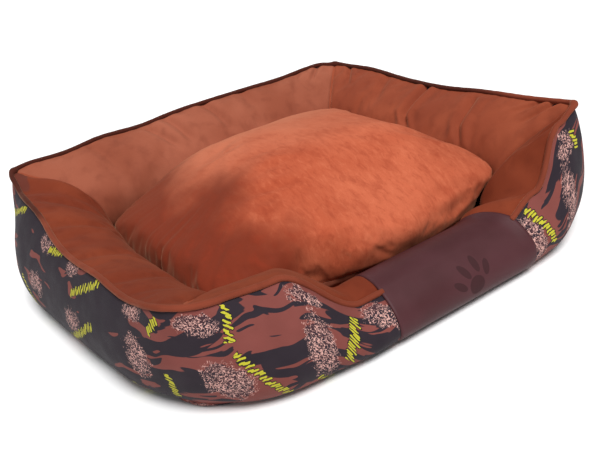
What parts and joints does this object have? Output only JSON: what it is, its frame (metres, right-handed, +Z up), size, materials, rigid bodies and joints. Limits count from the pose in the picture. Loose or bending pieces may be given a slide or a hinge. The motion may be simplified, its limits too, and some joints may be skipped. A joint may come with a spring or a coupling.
{
  "type": "pet cushion bed",
  "caption": "Rectangular pet bed: stuffed bolster walls with a piped rim, a low entry in the front wall, and a loose zipped cushion inside.",
  "frame": {"origin": "on the floor under the middle of the bed's bounding box", "axes": "+X to the right along the long front, +Y to the back, +Z up; the low entry is in the front wall, which faces -Y"},
  "size_m": [0.8876, 0.7796, 0.2212],
  "materials": {
    "base_fabric": "matte",
    "foam": "matte",
    "lining": "matte",
    "stuffing": "matte",
    "printed_fabric": "matte",
    "velour": "matte",
    "leatherette": "satin",
    "cord": "matte",
    "label": "matte",
    "plush": "matte",
    "zip_tape": "matte",
    "zip_teeth": "satin",
    "zip_metal": "satin"
  },
  "bodies": {
    "bed": {"base_fabric": "base_fabric", "floor_pad": "foam", "floor_lining": "lining", "bolster_fill_front": "stuffing", "bolster_fill_right": "stuffing", "bolster_fill_back": "stuffing", "bolster_fill_left": "stuffing", "outer_panel_left_wrap": "printed_fabric", "outer_panel_right_wrap": "printed_fabric", "outer_panel_back": "printed_fabric", "inner_panel_front_left": "velour", "inner_panel_front_right": "velour", "inner_panel_right": "velour", "inner_panel_back": "velour", "inner_panel_left": "velour", "entry_panel": "leatherette", "piping_cover": "velour", "piping_cord": "cord", "care_label": "label"},
    "cushion": {"cushion_top_cover": "plush", "cushion_bottom_cover": "lining", "cushion_fill": "stuffing", "zip_tape_upper": "zip_tape", "zip_tape_lower": "zip_tape", "zip_teeth_upper": "zip_teeth", "zip_teeth_lower": "zip_teeth", "zip_stop_closed_end": "zip_metal", "zip_stop_open_end": "zip_metal"},
    "slider": {"zip_slider": "zip_metal"},
    "pull": {"zip_pull": "zip_metal"}
  },
  "joints": [
    {"name": "cushion_lift", "type": "slide", "parent": "bed", "child": "cushion", "axis": [0, 0, 1], "range_m": [0, 0.3]},
    {"name": "zip_run", "type": "slide", "parent": "cushion", "child": "slider", "axis": [-1, 0, 0], "range_m": [0, 0.37]},
    {"name": "zip_pull_turn", "type": "hinge", "parent": "slider", "child": "pull", "pos_m": [0.18455, 0.22653, 0.048], "axis": [0, 0, -1], "range_deg": [0, 170]}
  ]
}
